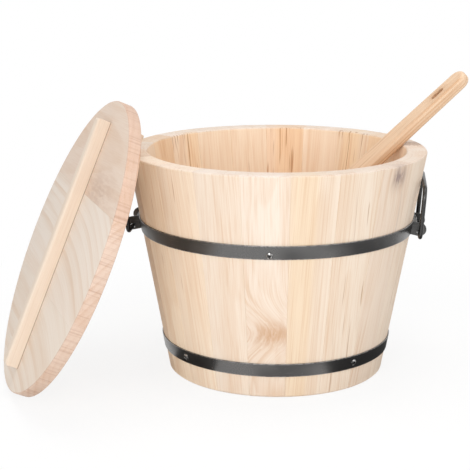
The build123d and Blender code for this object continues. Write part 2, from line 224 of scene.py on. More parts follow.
def sawn_from(origin, along, outward, pith, turn, drift):
    """The map from object space to the tree, as a matrix and a shift.

    The board's own axes are across, outward and along. They are turned about the length by turn,
    the pith lies that far behind the face, and drift leans the length against the trunk.
    """
    along = unit(along)
    across = unit(np.cross(outward, along))
    outward = np.cross(along, across)
    swing = np.array([[cos(turn), -sin(turn), 0], [sin(turn), cos(turn), 0], [0, 0, 1]])
    lean = np.array([[1, 0, drift[0]], [0, 1, drift[1]], [0, 0, 1]])
    matrix = swing @ lean @ np.array([across, outward, along])
    shift = swing @ np.array([0, pith, 0]) + UP * sawing.uniform(0, TRUNK_LENGTH)
    return matrix, shift - matrix @ np.asarray(origin, float)


def tree_place(tree, points):
    """Places in the tree of points in object space."""
    matrix, shift = tree
    return np.asarray(points) @ matrix.T + shift


def mark_wood(mesh, tree, tint):
    """Stores each vertex's place in the tree, and the tint of the board or of each vertex."""
    places = tree_place(tree, vectors(mesh.vertices, "co"))
    tints = np.ones((len(places), 4))
    tints[:, :3] = tint
    store(mesh, "tree_place", "FLOAT_VECTOR", "vector", places)
    store(mesh, "tint", "FLOAT_COLOR", "color", tints)


print("tree map ready")

# %% [markdown]
# Shader nodes can be joined by hand in the editor, but a script shows the whole recipe, and it
# reads better when one line adds a node and feeds it. These helpers do that: a socket is linked, a
# number is set, and the result comes back for the next line.

# %% Node helpers
def is_socket(source):
    """Whether a source is a socket, not a value."""
    return isinstance(source, bpy.types.NodeSocket)


def join(source, socket):
    """Links two sockets of one node tree."""
    source.id_data.links.new(source, socket)


def add_node(kind, *sources, tree=None, **settings):
    """A new node with its settings made and its inputs fed in their order.

    A source is a socket to link, a value to set, or None to leave that input. Without a given tree
    the node goes where its sockets are.
    """
    tree = tree or next(source.id_data for source in sources if is_socket(source))
    node = tree.nodes.new(f"ShaderNode{kind}")
    for label, setting in settings.items():
        setattr(node, label, setting)
    for socket, source in zip(node.inputs, sources):
        if is_socket(source):
            join(source, socket)
        elif source is not None:
            socket.default_value = source
    return node


def math(operation, *sources):
    """A Math node's result, or that of a row of Math nodes where more than two numbers go in."""
    result = add_node("Math", *sources[:2], operation=operation).outputs[0]
    return math(operation, result, *sources[2:]) if sources[2:] else result


def times(*numbers):
    """Numbers multiplied together."""
    return math("MULTIPLY", *numbers)


def plus(*numbers):
    """Numbers added together."""
    return math("ADD", *numbers)


def vector_math(operation, *sources):
    """A Vector Math node's vector."""
    return add_node("VectorMath", *sources, operation=operation).outputs[0]


def scaled(vector, amount):
    """A vector times a number."""
    return vector_math("SCALE", vector, None, None, amount)


def length_of(vector):
    """The length of a vector."""
    return add_node("VectorMath", vector, operation="LENGTH").outputs["Value"]


print("node helpers ready")

# %% [markdown]
# Most of the patterns on wood and steel are noise pushed through a soft step. Noise alone is a
# grey fog. The step's limits cut lines, bands or specks out of it, and longer cells along the
# grain turn specks into fibres. A picture of wood would do for one board, but noise fits any board
# and never repeats. A shader group keeps such a pattern in one place for many finishes.

# %% Pattern helpers
SOCKET_KINDS = {1: "NodeSocketFloat", 3: "NodeSocketVector", 4: "NodeSocketColor"}


def noise(place, cells, detail=2.0, output="Fac"):
    """Noise with so many cells a metre across the grain and so many along it."""
    across, along = cells
    stretched = vector_math("MULTIPLY", place, (across, across, along))
    return add_node("TexNoise", stretched, None, 1.0, detail).outputs[output]


def soft_step(value, limits, results=(0.0, 1.0)):
    """A soft step between two limits, from the first result to the second."""
    return add_node("MapRange", value, *limits, *results, interpolation_type="SMOOTHSTEP").outputs[0]


def soft_noise(place, cells, limits, results=(0.0, 1.0), detail=2.0):
    """Noise of so many cells, pushed through a soft step between two limits."""
    return soft_step(noise(place, cells, detail), limits, results)


def mix_colour(share, first, second, blend="MIX"):
    """Two colours mixed by a share."""
    sources = (share, *[None] * 5, first, second)
    return add_node("Mix", *sources, data_type="RGBA", blend_type=blend).outputs[2]


def new_group(name, inputs, outputs):
    """An empty shader group, and the sockets of its input and output nodes.

    A socket's kind follows from its first value: a number, three coordinates or a colour of four.
    """
    group = bpy.data.node_groups.new(name, "ShaderNodeTree")
    for side, sockets in (("INPUT", inputs), ("OUTPUT", outputs)):
        for label, value in sockets.items():
            kind = SOCKET_KINDS[np.size(value)]
            group.interface.new_socket(label, in_out=side, socket_type=kind).default_value = value
    return group, group.nodes.new("NodeGroupInput").outputs, group.nodes.new("NodeGroupOutput").inputs


print("pattern helpers ready")

# %% [markdown]
# The run of the grain. A tree's rings are the distance from the pith divided by the ring width.
# Around a knot the grain sweeps aside, so the place in the tree is first shifted near the knot's
# height, and a board cut across a bend in the trunk gets a bend in the same way. Lines drawn on
# each board would be quicker, but these rings also meet at the edges.

# %% Run of the grain
NOISE_MIDDLE = (0.5, 0.5, 0.5)
SWEEP_HEIGHT = 0.026
KNOT_FRAY = 0.011
RING_SWAY = (0.012, 0.012, 0)
RING_DEEPENS = (0.3, 0.9)
RING_STOPS = (0.9, 1.0)
YEAR_STRENGTHS = (0.25, 1.0)


def bell(value):
    """One at nought, falling off on both sides: the exponential of minus the square."""
    return math("EXPONENT", times(value, value, -1.0))


def grain_flow(given):
    """The place in the tree after the grain's sweep past a knot and its bend along the board.

    Close to the knot the grain is also frayed. How close that is comes back as well.
    """
    place = given["Tree Place"]
    offset = vector_math("SUBTRACT", place, given["Knot Place"])
    height = add_node("SeparateXYZ", offset).outputs["Z"]
    rise = bell(math("DIVIDE", height, SWEEP_HEIGHT))
    beyond = math("POWER", math("MAXIMUM", height, 0.0), 2.0)
    flow = vector_math("ADD", place, scaled(given["Knot Sweep"], rise))
    flow = vector_math("ADD", flow, scaled(given["Grain Bend"], beyond))
    closeness = length_of(vector_math("MULTIPLY", offset, given["Knot Reach"]))
    core = times(bell(closeness), given["Knot Core"])
    fray = noise(place, cells=(190, 60), detail=3.0, output="Color")
    fray = scaled(vector_math("SUBTRACT", fray, NOISE_MIDDLE), times(core, KNOT_FRAY))
    return vector_math("ADD", flow, fray), core


def growth_rings(flow, width):
    """How dark the late wood is: it deepens through each ring, stops sharply, and varies by year."""
    sway = noise(flow, cells=(11, 2.6), output="Color")
    sway = vector_math("SUBTRACT", sway, NOISE_MIDDLE)
    swayed = vector_math("ADD", flow, vector_math("MULTIPLY", sway, RING_SWAY))
    ring = math("DIVIDE", length_of(vector_math("MULTIPLY", swayed, (1, 1, 0))), width)
    season = math("FRACT", ring)
    late = math("SUBTRACT", soft_step(season, RING_DEEPENS), soft_step(season, RING_STOPS))
    year = add_node("TexWhiteNoise", None, math("FLOOR", ring), noise_dimensions="1D")
    strength = soft_step(year.outputs["Value"], limits=(0.0, 1.0), results=YEAR_STRENGTHS)
    patches = soft_noise(flow, cells=(70, 5), limits=(0.3, 0.7), results=(0.3, 1.1))
    return times(late, strength, patches)


print("late wood fills the ring from", RING_DEEPENS[0], "to", RING_DEEPENS[1])

# %% [markdown]
# The wood group. Pale softwood shows faint growth rings, finer lines and fibres, soft peach bands,
# and a few short dark streaks. The group adds up how deep each of them makes the tone, and lays
# the streaks on top. Each effect is small, because the real boards are nearly plain.

# %% Wood group
NOWHERE = (0, 0, 0)
BLACK = (0, 0, 0, 1)
WOOD_COLOURS = {
    "Pale": (0.855, 0.715, 0.578, 1),
    "Deep": (0.75, 0.55, 0.39, 1),
    "Streak": (0.45, 0.235, 0.11, 1),
}
LATE_HOLLOW = 0.3
STREAK_SPREAD = 0.45
KNOT_DEPTH = 0.5
KNOT_STAIN = 0.75


def grain(width, rings, lines=0.3, streaks=0.5, amount=0.0):
    """The group's values for one kind of board: the ring width and the strengths."""
    return {
        "Ring Width": width,
        "Ring Strength": rings,
        "Line Strength": lines,
        "Streak Strength": streaks,
        "Streak Amount": amount,
    }


def make_wood_group():
    """Colour and fibre height of sawn wood, from a place in the tree."""
    group, given, out = new_group(
        "sawn_wood",
        {
            "Tree Place": NOWHERE,
            **WOOD_COLOURS,
            **grain(0.003, rings=0.4),
            "Knot Place": NOWHERE,
            "Knot Reach": (100, 100, 100),
            "Knot Core": 0.0,
            "Knot Sweep": NOWHERE,
            "Grain Bend": NOWHERE,
        },
        {"Colour": BLACK, "Fibre": 0.0},
    )
    flow, knot = grain_flow(given)
    late = growth_rings(flow, given["Ring Width"])
    fibre = noise(flow, cells=(1300, 16))
    line = soft_noise(flow, cells=(430, 5), limits=(0.45, 0.75))
    line = times(line, soft_noise(flow, cells=(45, 6), limits=(0.35, 0.65)))
    hair = soft_noise(flow, cells=(800, 4), limits=(0.48, 0.7), results=(0, 0.5), detail=1.0)
    stain = soft_noise(flow, cells=(240, 40), limits=(0.3, 0.62), results=(0.35, 1.0))
    core = times(knot, stain)
    depth = plus(
        times(late, given["Ring Strength"]),
        soft_noise(flow, cells=(42, 2.2), limits=(0.42, 0.75), results=(0, 0.42), detail=1.0),
        soft_noise(flow, cells=(12, 5), limits=(0.4, 0.75), results=(0, 0.22), detail=1.0),
        times(plus(line, hair), given["Line Strength"]),
        soft_step(fibre, limits=(0.25, 0.75), results=(-0.2, 0.16)),
        times(core, KNOT_DEPTH),
    )
    depth = math("MINIMUM", math("MAXIMUM", depth, 0.0), 1.0)
    colour = mix_colour(depth, given["Pale"], given["Deep"])
    amount = given["Streak Amount"]
    dash = plus(noise(flow, cells=(360, 15), detail=1.0), times(amount, STREAK_SPREAD))
    flock = plus(noise(flow, cells=(26, 6), detail=1.0), amount)
    streak = times(soft_step(dash, limits=(0.66, 0.76)), soft_step(flock, limits=(0.5, 0.66)))
    streak = plus(times(streak, given["Streak Strength"]), times(core, KNOT_STAIN))
    streak = math("MINIMUM", streak, 1.0)
    join(mix_colour(streak, colour, given["Streak"]), out["Colour"])
    join(math("SUBTRACT", fibre, times(late, LATE_HOLLOW)), out["Fibre"])
    return group


wood_group = make_wood_group()
print("wood group:", len(wood_group.nodes), "nodes")

# %% [markdown]
# A wooden finish is that group with its own colours and ring width, the board's tint on top, and
# a fine bump from the fibres. Planed bare wood has a broad, weak shine, so roughness stays high
# and only varies a little with the fibres.

# %% Wood finishes
WOOD_ROUGHNESS = (0.66, 0.54)
FIBRE_BUMP = {"Strength": 0.35, "Distance": 0.00025}


def new_material(name):
    """A material with its node tree and its shader's inputs."""
    material = bpy.data.materials.new(name)
    material.use_nodes = True
    return material, material.node_tree, material.node_tree.nodes["Principled BSDF"].inputs


def set_inputs(node, values):
    """A node with its inputs set by name."""
    for label, value in values.items():
        node.inputs[label].default_value = value
    return node


def stored(tree, name):
    """A value stored on the mesh's vertices."""
    return add_node("Attribute", tree=tree, attribute_name=name).outputs


def object_place(tree):
    """The Object coordinates."""
    return add_node("TexCoord", tree=tree).outputs["Object"]


def turned_place(tree, sawn):
    """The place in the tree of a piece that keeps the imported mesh: turned Object coordinates."""
    matrix, shift = sawn
    turn = Matrix(matrix.tolist()).to_euler("XYZ")
    return add_node("Mapping", object_place(tree), shift, turn).outputs[0]


def dress(shader, colour, roughness, height, bump):
    """Feeds a shader its colour, its roughness and a bump from a height."""
    bumped = set_inputs(add_node("Bump", tree=height.id_data), bump)
    join(height, bumped.inputs["Height"])
    join(colour, shader["Base Color"])
    join(roughness, shader["Roughness"])
    join(bumped.outputs["Normal"], shader["Normal"])


def wood_finish(name, values, sawn=None):
    """A wood material: the group by named values, tinted by board, with a fibre bump.

    A piece without stored places gives the map sawn instead, and takes its tone from the values.
    """
    material, tree, shader = new_material(name)
    wood = set_inputs(add_node("Group", tree=tree, node_tree=wood_group), values)
    place = turned_place(tree, sawn) if sawn else stored(tree, "tree_place")["Vector"]
    join(place, wood.inputs["Tree Place"])
    colour, fibre = wood.outputs
    if not sawn:
        colour = mix_colour(1.0, colour, stored(tree, "tint")["Color"], "MULTIPLY")
    roughness = soft_step(fibre, limits=(0.2, 0.8), results=WOOD_ROUGHNESS)
    dress(shader, colour, roughness, fibre, FIBRE_BUMP)
    return material


stave_wood = wood_finish("stave_wood", grain(0.0034, rings=0.4, lines=0.75, streaks=0.6))
inside_wood = wood_finish("stave_wood_inside", grain(0.0034, rings=0.5, lines=0.6))
PITCHY_WOOD = grain(0.0034, rings=0.5, lines=0.9, streaks=0.75, amount=0.2)
pitchy_wood = wood_finish("stave_wood_pitchy", PITCHY_WOOD)
print("wood finishes:", stave_wood.name, inside_wood.name, pitchy_wood.name)

# %% [markdown]
# The staves. Each is a tapered board, a slice of the wall's cone, with the long edges eased so
# that the joints show as thin lines, a rounded rim and a groove inside for the bottom. A lathe
# would give one ring of wood, but a tub is twenty boards, so every stave is its own stack of
# rings: a slice outline carried from the foot to the rim. Real staves differ by fractions of a
# millimetre, so each one stands a hair in or out of its neighbours.

# %% Stave shape
SEAM_EASE = 0.00035
RIM_EASE = 0.002
FOOT_EASE = 0.0015
GROOVE_LOW = 0.016
GROOVE_HIGH = 0.028
GROOVE_DEPTH = 0.005
GROOVE_LIP = 0.0002
ARC_STEPS = 11
RIM_STEPS = 7
WALL_STEPS = 8
WALL_MARGIN = 0.02


def stave_outline():
    """A slice of the wall as shares of its half angle and depths from its outside, going round."""
    eased = 1 - SEAM_EASE / (RIM_RADIUS * STAVE_ANGLE / 2)
    share = np.r_[-1, np.linspace(-eased, eased, ARC_STEPS), 1]
    depth = np.r_[SEAM_EASE, np.zeros(ARC_STEPS), SEAM_EASE]
    return np.r_[share, share[::-1]], np.r_[depth, WALL - depth[::-1]]


def stave_rows():
    """Heights up a stave, with how far the outline draws in and how deep its groove is there."""
    cosine, sine = quarter(RIM_STEPS)
    groove = [GROOVE_LOW - GROOVE_LIP, GROOVE_LOW, GROOVE_HIGH, GROOVE_HIGH + GROOVE_LIP]
    wall = np.linspace(GROOVE_HIGH + WALL_MARGIN, TUB_HEIGHT - WALL_MARGIN, WALL_STEPS)
    height = np.r_[0, FOOT_EASE, groove, wall, TUB_HEIGHT - RIM_EASE + RIM_EASE * sine]
    inset = np.r_[FOOT_EASE, np.zeros(1 + len(groove) + WALL_STEPS), RIM_EASE * (1 - cosine)]
    cut = np.zeros(len(height))
    cut[(height >= GROOVE_LOW) & (height <= GROOVE_HIGH)] = GROOVE_DEPTH
    return height, inset, cut


def stave_rings(azimuth, stand):
    """The outline at every row, laid on the cone at an azimuth.

    A point's radius is the wall's at its height, plus the stave's stand, less the point's depth. The
    depth is held within what the eased ends and the groove leave of the wall.
    """
    share, depth = stave_outline()
    height, inset, cut = (row[:, None] for row in stave_rows())
    held = np.clip(depth, inset, WALL - inset - cut)
    return around_axis(outer_radius(height) + stand - held, azimuth + share * STAVE_ANGLE / 2, height)


print("stave rings:", stave_rings(0.0, 0.0).shape)

# %% [markdown]
# The boards were cut from different trees, so their tones differ: nearly white, sand, honey and
# pink, and a few have a band of honey heartwood. The two staves beside the lid are lightened, which
# is painted light in the lid's shade. The inside is tinted warmer and a little lighter, which is
# painted bounce light, and has dark pitch on some staves, and the rim's end grain is greyer. Every
# board could have a material of its own, but a tint stored on its mesh lets one finish serve nearly
# all of them.

# %% Stave tones
TONES = {
    "white": (0.995, 1.03, 1.085),
    "pale": (1.0, 1.03, 1.07),
    "sand": (0.96, 0.975, 0.99),
    "pink": (0.955, 0.91, 0.885),
    "honey": (0.96, 0.91, 0.84),
    "grey": (0.92, 0.915, 0.925),
    # The ivory and cream tones lighten the two staves beside the lid: painted light in the lid's shade.
    "ivory": (1.07, 1.09, 1.09),
    "cream": (1.12, 1.13, 1.1),
}
STAVE_TONES = (
    "white sand sand grey sand sand pale honey sand pale "
    "pink sand sand pale honey sand honey cream ivory pale"
).split()
# The inside tint is painted bounce light: warmer and a little lighter than the outside.
INSIDE_PAINTED_BOUNCE = (1.08, 1.03, 0.955)
INSIDE_DEPTH = 0.9
RIM_TONE = (0.93, 0.94, 0.98)
HEARTS = {2: (-1.0, 0.15), 9: (-0.4, 0.7), 11: (-1.0, 0.5), 14: (-1.0, -0.1)}
NO_HEART = (2.0, 2.0)
HEART_TONE = (1.0, 0.95, 0.86)
HEART_EDGE = 0.25
PITCHY_STAVES = (9, 11, 14)


def wall_depth(points):
    """How deep points lie in the wall, as a share of its thickness."""
    depth = outer_radius(points[:, 2]) - np.hypot(points[:, 0], points[:, 1])
    return np.clip(depth / WALL, 0, 1)


def heart_share(points, number, azimuth):
    """How far points lie in a stave's band of heartwood, which fades out at both sides."""
    low, high = HEARTS.get(number, NO_HEART)
    turn = np.arctan2(points[:, 1], points[:, 0]) - azimuth
    across = np.angle(np.exp(1j * turn)) * 2 / STAVE_ANGLE
    return np.clip(np.minimum(across - low, high - across) / HEART_EDGE + 0.5, 0, 1)


def toned(share, first, second):
    """Tones that go from the first to the second by a share."""
    return first * (1 - share)[:, None] + np.array(second) * share[:, None]


def stave_tints(mesh, number, azimuth):
    """The board's tone outside, a warmer, lighter one inside that is painted bounce light, and a greyer
    one on the rim's end grain.
    """
    points = vectors(mesh.vertices, "co")
    tone = TONES[STAVE_TONES[number - 1]] * toned(heart_share(points, number, azimuth), 1, HEART_TONE)
    shade = toned(wall_depth(points), 1, INSIDE_PAINTED_BOUNCE)
    rim = (points[:, 2] > TUB_HEIGHT - RIM_EASE / 2).astype(float)
    return tone * toned(rim, shade, RIM_TONE)


def mark_inside(mesh, number):
    """Gives the faces of the inside the second material, which has more pitch on some staves."""
    inside = wall_depth(vectors(mesh.polygons, "center")) > INSIDE_DEPTH
    mesh.materials.append(pitchy_wood if number in PITCHY_STAVES else inside_wood)
    mesh.polygons.foreach_set("material_index", inside.astype(np.int32))


print(len(STAVE_TONES), "stave tones of", len(TONES), "kinds")

# %% [markdown]
# Knots. The front stave has a knot's swirl low down, and one on the right has a small grey knot
# near the rim. A knot is given by its height and its place across the stave, and both are turned
# into a place in the stave's own tree, because the wood group looks for it there.

# %% Knots
KNOTS = {
    1: {
        "height": 0.069,
        "across": 0.006,
        "sweep": -0.026,
        "reach": (0.021, 0.021, 0.0125),
        "core": 1.2,
        "streak": (0.58, 0.33, 0.18, 1),
        "wood": grain(0.0023, rings=0.7, lines=0.75, streaks=0.2),
    },
    4: {
        "height": 0.2205,
        "across": 0.003,
        "sweep": 0.004,
        "reach": (0.009, 0.009, 0.0105),
        "core": 1.5,
        "streak": (0.29, 0.215, 0.205, 1),
        "wood": grain(0.0034, rings=0.36, lines=0.75, streaks=0.2),
    },
}


def knot_values(knot, tree, azimuth):
    """The wood group's values for a knot at a height and a place across a stave."""
    outward, sideways = compass(azimuth)
    height = knot["height"]
    point = outward * outer_radius(height) + sideways * knot["across"] + UP * height
    return {
        **knot["wood"],
        "Knot Place": tree_place(tree, point),
        "Knot Reach": 1 / np.array(knot["reach"]),
        "Knot Core": knot["core"],
        "Knot Sweep": tree[0] @ sideways * knot["sweep"],
        "Streak": knot["streak"],
    }


print("knots on staves", *KNOTS)

# %% [markdown]
# The ring of staves. Twenty copies of one stave would show the same grain twenty times. So each
# stave draws its own tree: how far the pith lies behind its face, how it was turned on the saw,
# and how it leans against the trunk. A fixed seed gives the same tub each time.

# %% Staves
STAVE_STAND = 0.00012
STAVE_PITH = (0.05, 0.12)
STAVE_TURN = 1.4
STAVE_DRIFT = 0.03


def stave_tree(azimuth):
    """Where a stave sat in its tree, drawn at random: its pith, its turn and its lean."""
    outward, _ = compass(azimuth)
    pith = sawing.uniform(*STAVE_PITH)
    turn = sawing.uniform(-STAVE_TURN, STAVE_TURN)
    drift = sawing.uniform(-STAVE_DRIFT, STAVE_DRIFT, 2)
    return sawn_from(outward * FOOT_RADIUS, outward * WALL_SLOPE + UP, outward, pith, turn, drift)


def add_stave(number):
    """One stave, with its own place in a tree, its tone and, on two of them, a knot."""
    azimuth = -pi / 2 + (number - 1) * STAVE_ANGLE
    tree = stave_tree(azimuth)
    stand = sawing.uniform(-STAVE_STAND, 0)
    mesh = stack_mesh(f"wood_stave_{number:02d}", [stave_rings(azimuth, stand)])
    mark_wood(mesh, tree, stave_tints(mesh, number, azimuth))
    material = stave_wood
    if number in KNOTS:
        values = knot_values(KNOTS[number], tree, azimuth)
        material = wood_finish(f"stave_wood_knot_{number}", values)
    piece = add_piece(mesh, "tub", "stave_wood", material, f"stave_{number:02d}")
    mark_inside(mesh, number)
    return piece


staves = [add_stave(number) for number in range(1, STAVE_COUNT + 1)]
print(len(staves), "staves,", sum(len(piece.data.polygons) for piece in staves), "faces")

# %% [markdown]
# Flat boards. The bottom and the lid are both discs made of boards side by side. A disc could be
# cut by a boolean, but an outline of two arcs and two straight seams, stacked from one face to
# the other, gives clean edges: rounded at the rim and only just eased at the seams.

# %% Board shapes
BOARD_STEPS = 150
EDGE_STEPS = 5


def strip_outline(radius, low, high):
    """The part of a disc between two parallel lines, as an outline going round.

    A point of the disc's edge lies the radius times the cosine of its angle across the boards, so
    a line cuts the edge where that cosine is the line's place over the radius. Where no line cuts
    the disc's end, the points keep half a step away from it, so that none is there twice.
    """
    first = np.arccos(min(high / radius, 1.0))
    last = np.arccos(max(low / radius, -1.0))
    start = 0.5 if high >= radius else 0.0
    stop = 0.5 if low <= -radius else 0.0
    share = (np.arange(BOARD_STEPS) + start) / (BOARD_STEPS - 1 + start + stop)
    half = first + (last - first) * share
    angle = np.r_[half, -half[::-1]]
    return radius * np.cos(angle), radius * np.sin(angle)


def disc_board(radius, low, high, thickness, edge, seam):
    """One board of a disc: its outline at heights through the thickness.

    Near each face the outline draws in along a quarter circle, by edge at the rim and by seam at
    the joints. The axes are across the boards, along them and up.
    """
    cosine, sine = quarter(EDGE_STEPS)
    inset = np.r_[1 - sine, 1 - cosine]
    height = np.r_[edge * (1 - cosine), thickness - edge * (1 - sine)]
    rows = [strip_outline(radius - edge * part, low + seam * part, high - seam * part) for part in inset]
    across, along = np.moveaxis(np.array(rows), 1, 0)
    return np.stack(np.broadcast_arrays(across, along, height[:, None]), axis=-1)


def lay(rings, origin, axes):
    """Rings moved from their own axes to an origin and three directions in the frame."""
    return rings @ np.array(axes) + np.asarray(origin)


def add_board(name, rings, tree, tint, body, slot, material, node):
    """A wooden piece of one stack of rings, marked with its tree and tint."""
    mesh = stack_mesh(name, [rings])
    mark_wood(mesh, tree, tint)
    return add_piece(mesh, body, slot, material, node)


print("board outline points:", 2 * BOARD_STEPS)

# %% [markdown]
# The bottom. Three boards lie side by side in the staves' groove, with the grain running front to
# back. From above only a dim floor shows inside the tub, so the boards are tinted a little browner
# and darker, which is painted shade.

# %% Bottom boards
BASE_PLAY = 0.0003
BASE_RADIUS = outer_radius(GROOVE_HIGH) - WALL + GROOVE_DEPTH - BASE_PLAY
BASE_EDGE = 0.0004
BASE_PITH = 0.06
BASE_TURN = 0.4
BASE_DRIFT = (0.01, 0.03)
# The bottom boards' tones are painted shade: a little browner and darker than the staves.
BASE_SHADED_TONES = ((0.93, 0.88, 0.8), (0.97, 0.91, 0.82), (0.91, 0.87, 0.81))

base_wood = wood_finish("base_wood", grain(0.004, rings=0.5))


def add_base_board(number):
    """One bottom board, a third of the disc's width."""
    width = 2 * BASE_RADIUS / 3
    low = -BASE_RADIUS + (number - 1) * width
    thickness = GROOVE_HIGH - GROOVE_LOW
    rings = disc_board(BASE_RADIUS, low, low + width, thickness, BASE_EDGE, BASE_EDGE / 2)
    rings = rings + UP * GROOVE_LOW
    middle = (low + width / 2, 0, GROOVE_HIGH)
    turn = sawing.uniform(-BASE_TURN, BASE_TURN)
    tree = sawn_from(middle, (0, 1, 0), UP, BASE_PITH, turn, BASE_DRIFT)
    tone = BASE_SHADED_TONES[number - 1]
    name = f"wood_base_{number}"
    return add_board(name, rings, tree, tone, "tub", "base_wood", base_wood, f"base_board_{number}")


base_boards = [add_base_board(number) for number in (1, 2, 3)]
print(len(base_boards), "bottom boards")

# %% [markdown]
# The lid. Three boards make a disc that stands on its edge and leans back until the batten behind
# it meets the rim. The boards were laid with the bark side out, so arches of grain run along them.
# First comes the lid's own set of directions: out of its face, along its boards, and up the lid.

# %% Lid directions
LID_RADIUS = 0.15395
LID_THICKNESS = 0.013
LID_EASE = 0.0012
LID_SEAMS = (-0.05, 0.056)
LID_SEAM_EASE = 0.00004
LID_SPREAD = 0.10136
LID_FACING = radians(-158)
LID_SHIFT = 0.008
LID_ROLL = radians(1.5)
BATTEN_DEPTH = 0.0185
REST_GAP = 0.0003


def lid_place():
    """The middle of the lid's outer face with its directions along the boards, up the lid and out.

    The lid's foot stands on the floor, and the batten's face just clears the rim's eased edge. The
    distance out of the tub's axis follows from these two touches and the lean.
    """
    lean = atan(LID_SPREAD / TUB_HEIGHT)
    ease_centre = outer_radius(TUB_HEIGHT - RIM_EASE) - RIM_EASE / cos(WALL_TILT)
    reach = ease_centre * cos(lean) + (TUB_HEIGHT - RIM_EASE) * sin(lean) + RIM_EASE
    height = (LID_RADIUS - LID_EASE) * cos(lean) + (LID_THICKNESS - LID_EASE) * sin(lean) + LID_EASE
    stack = LID_THICKNESS + BATTEN_DEPTH
    distance = (reach + REST_GAP + stack - height * sin(lean)) / cos(lean)
    outward, sideways = compass(LID_FACING)
    centre = outward * distance + sideways * LID_SHIFT + UP * height
    normal = outward * cos(lean) + UP * sin(lean)
    along = sideways * cos(LID_ROLL) + np.cross(normal, sideways) * sin(LID_ROLL)
    return centre, along, np.cross(normal, along), normal


lid_centre, lid_along, lid_up, lid_out = lid_place()
lid_back = lid_centre - lid_out * LID_THICKNESS
print("lid middle:", lid_centre.round(4))

# %% [markdown]
# The growth rings on the lid are wide, some six millimetres, and they bend away down the lid on
# the side that faces the tub's front. The two lower boards came from one plank, so their rings run
# on across the seam. The upper board has a browner wedge beside the bar. The round edge shows end
# grain, which drinks in dirt and oil, so it is pinker and darker than the faces.

# %% Lid boards
LID_TONES = ((0.93, 0.97, 1.03), (0.94, 0.98, 1.05), (0.9, 0.88, 0.9))
LID_EDGE_TONE = (0.88, 0.77, 0.72)
LID_EDGE_MARKS = (0.2, 0.28, 0.32)
LID_MARK_POWER = 5
LID_BEND = 1.1
LID_BEND_START = -0.02
LID_WOOD = grain(0.0056, rings=0.9, lines=0.25, streaks=0.15)
LOWER_PLANK = -0.05
UPPER_PLANK = 0.1
WEDGE_BOARD = 3
WEDGE_PLACE = (0.05, 0.066)
WEDGE = {"Knot Reach": (50, 50, 16), "Knot Core": 0.7, "Streak": (0.56, 0.39, 0.29, 1)}

lower_place = lid_centre + lid_up * LOWER_PLANK
lower_tree = sawn_from(lower_place, lid_along, lid_out, pith=0.16, turn=1.45, drift=(0.02, 0.0))
upper_place = lid_centre + lid_up * UPPER_PLANK
upper_tree = sawn_from(upper_place, lid_along, lid_out, pith=0.12, turn=1.2, drift=(-0.03, 0.02))
LID_TREES = (lower_tree, lower_tree, upper_tree)


def lid_board_wood(number, tree):
    """The lid's wood with the bend of the lower boards' grain, or the wedge of the upper board."""
    along, up = LID_BEND_START, 0
    values = {"Grain Bend": tree[0] @ lid_up * LID_BEND}
    if number == WEDGE_BOARD:
        along, up = WEDGE_PLACE
        values = WEDGE
    place = tree_place(tree, lid_centre + lid_along * along + lid_up * up)
    return wood_finish(f"lid_wood_{number}", {**LID_WOOD, **values, "Knot Place": place})


def lid_tints(rings, tone):
    """The board's tone on both faces and their middles, and marked end grain between them."""
    rows, around, _ = rings.shape
    tints = np.tile(tone, (rows, around, 1))
    marks = sawing.random((1, around, 1)) ** LID_MARK_POWER
    tints[1:-1] *= LID_EDGE_TONE * (1 - marks * LID_EDGE_MARKS)
    return np.append(tints.reshape(-1, 3), [tone, tone], axis=0)


def add_lid_board(number):
    """One lid board between two seams, from the lowest to the highest."""
    low, high = (-LID_RADIUS, *LID_SEAMS, LID_RADIUS)[number - 1 : number + 1]
    rings = disc_board(LID_RADIUS, low, high, LID_THICKNESS, LID_EASE, LID_SEAM_EASE)
    rings = lay(rings, lid_back, (lid_up, -lid_along, lid_out))
    tree = LID_TREES[number - 1]
    tints = lid_tints(rings, LID_TONES[number - 1])
    wood = lid_board_wood(number, tree)
    name = f"wood_lid_{number}"
    return add_board(name, rings, tree, tints, "lid", "lid_wood", wood, f"lid_board_{number}")


lid_boards = [add_lid_board(number) for number in (1, 2, 3)]
print(len(lid_boards), "lid boards")

# %% [markdown]
# Bars. A slim bar crosses the lid's outer face as its grip, a little askew, and a wide batten
# crosses the back to hold the boards together. Both are boxes with their outer edges rounded: one
# outline carried along the length, and pressed down in a quarter circle at each end.

# %% Lid bar and batten
BAR_SIZE = (0.262, 0.014, 0.014, 0.003)
BAR_SKEW = radians(3.6)
# The dark tint at the bar's foot, up to this height, is painted shade along its base.
BAR_SHADE_HEIGHT = 0.0011
BAR_TONE = (0.92, 0.93, 0.95)
BAR_PAINTED_SHADE = (0.3, 0.25, 0.21)
BATTEN_SIZE = (0.264, 0.036, BATTEN_DEPTH, 0.002)
BATTEN_TONE = (0.97, 0.94, 0.9)


def bar_rings(length, width, height, edge):
    """A bar standing on its width: outlines along its length, its outer edges quarter circles."""
    cosine, sine = quarter(EDGE_STEPS)
    foot = width / 2
    corner = foot - edge + edge * cosine
    rise = height - edge + edge * sine
    across = np.r_[-foot, foot, foot, corner, -corner[::-1], -foot]
    outline = np.r_[0, 0, BAR_SHADE_HEIGHT, rise, rise[::-1], BAR_SHADE_HEIGHT]
    back = edge * (1 - cosine)
    drop = edge * (1 - sine)
    along = length / 2 - np.r_[back, length - back[::-1]]
    top = height - np.r_[drop, drop[::-1]]
    up = np.minimum(outline, top[:, None])
    return np.stack(np.broadcast_arrays(across, along[:, None], up), axis=-1)


lid_bar_wood = wood_finish("lid_bar_wood", grain(0.003, rings=0.3, streaks=0.3))
bar_along = lid_up * cos(BAR_SKEW) - lid_along * sin(BAR_SKEW)
bar_tree = sawn_from(lid_centre, bar_along, lid_out, pith=0.05, turn=0.6, drift=(0.01, 0.0))
bar = bar_rings(*BAR_SIZE)
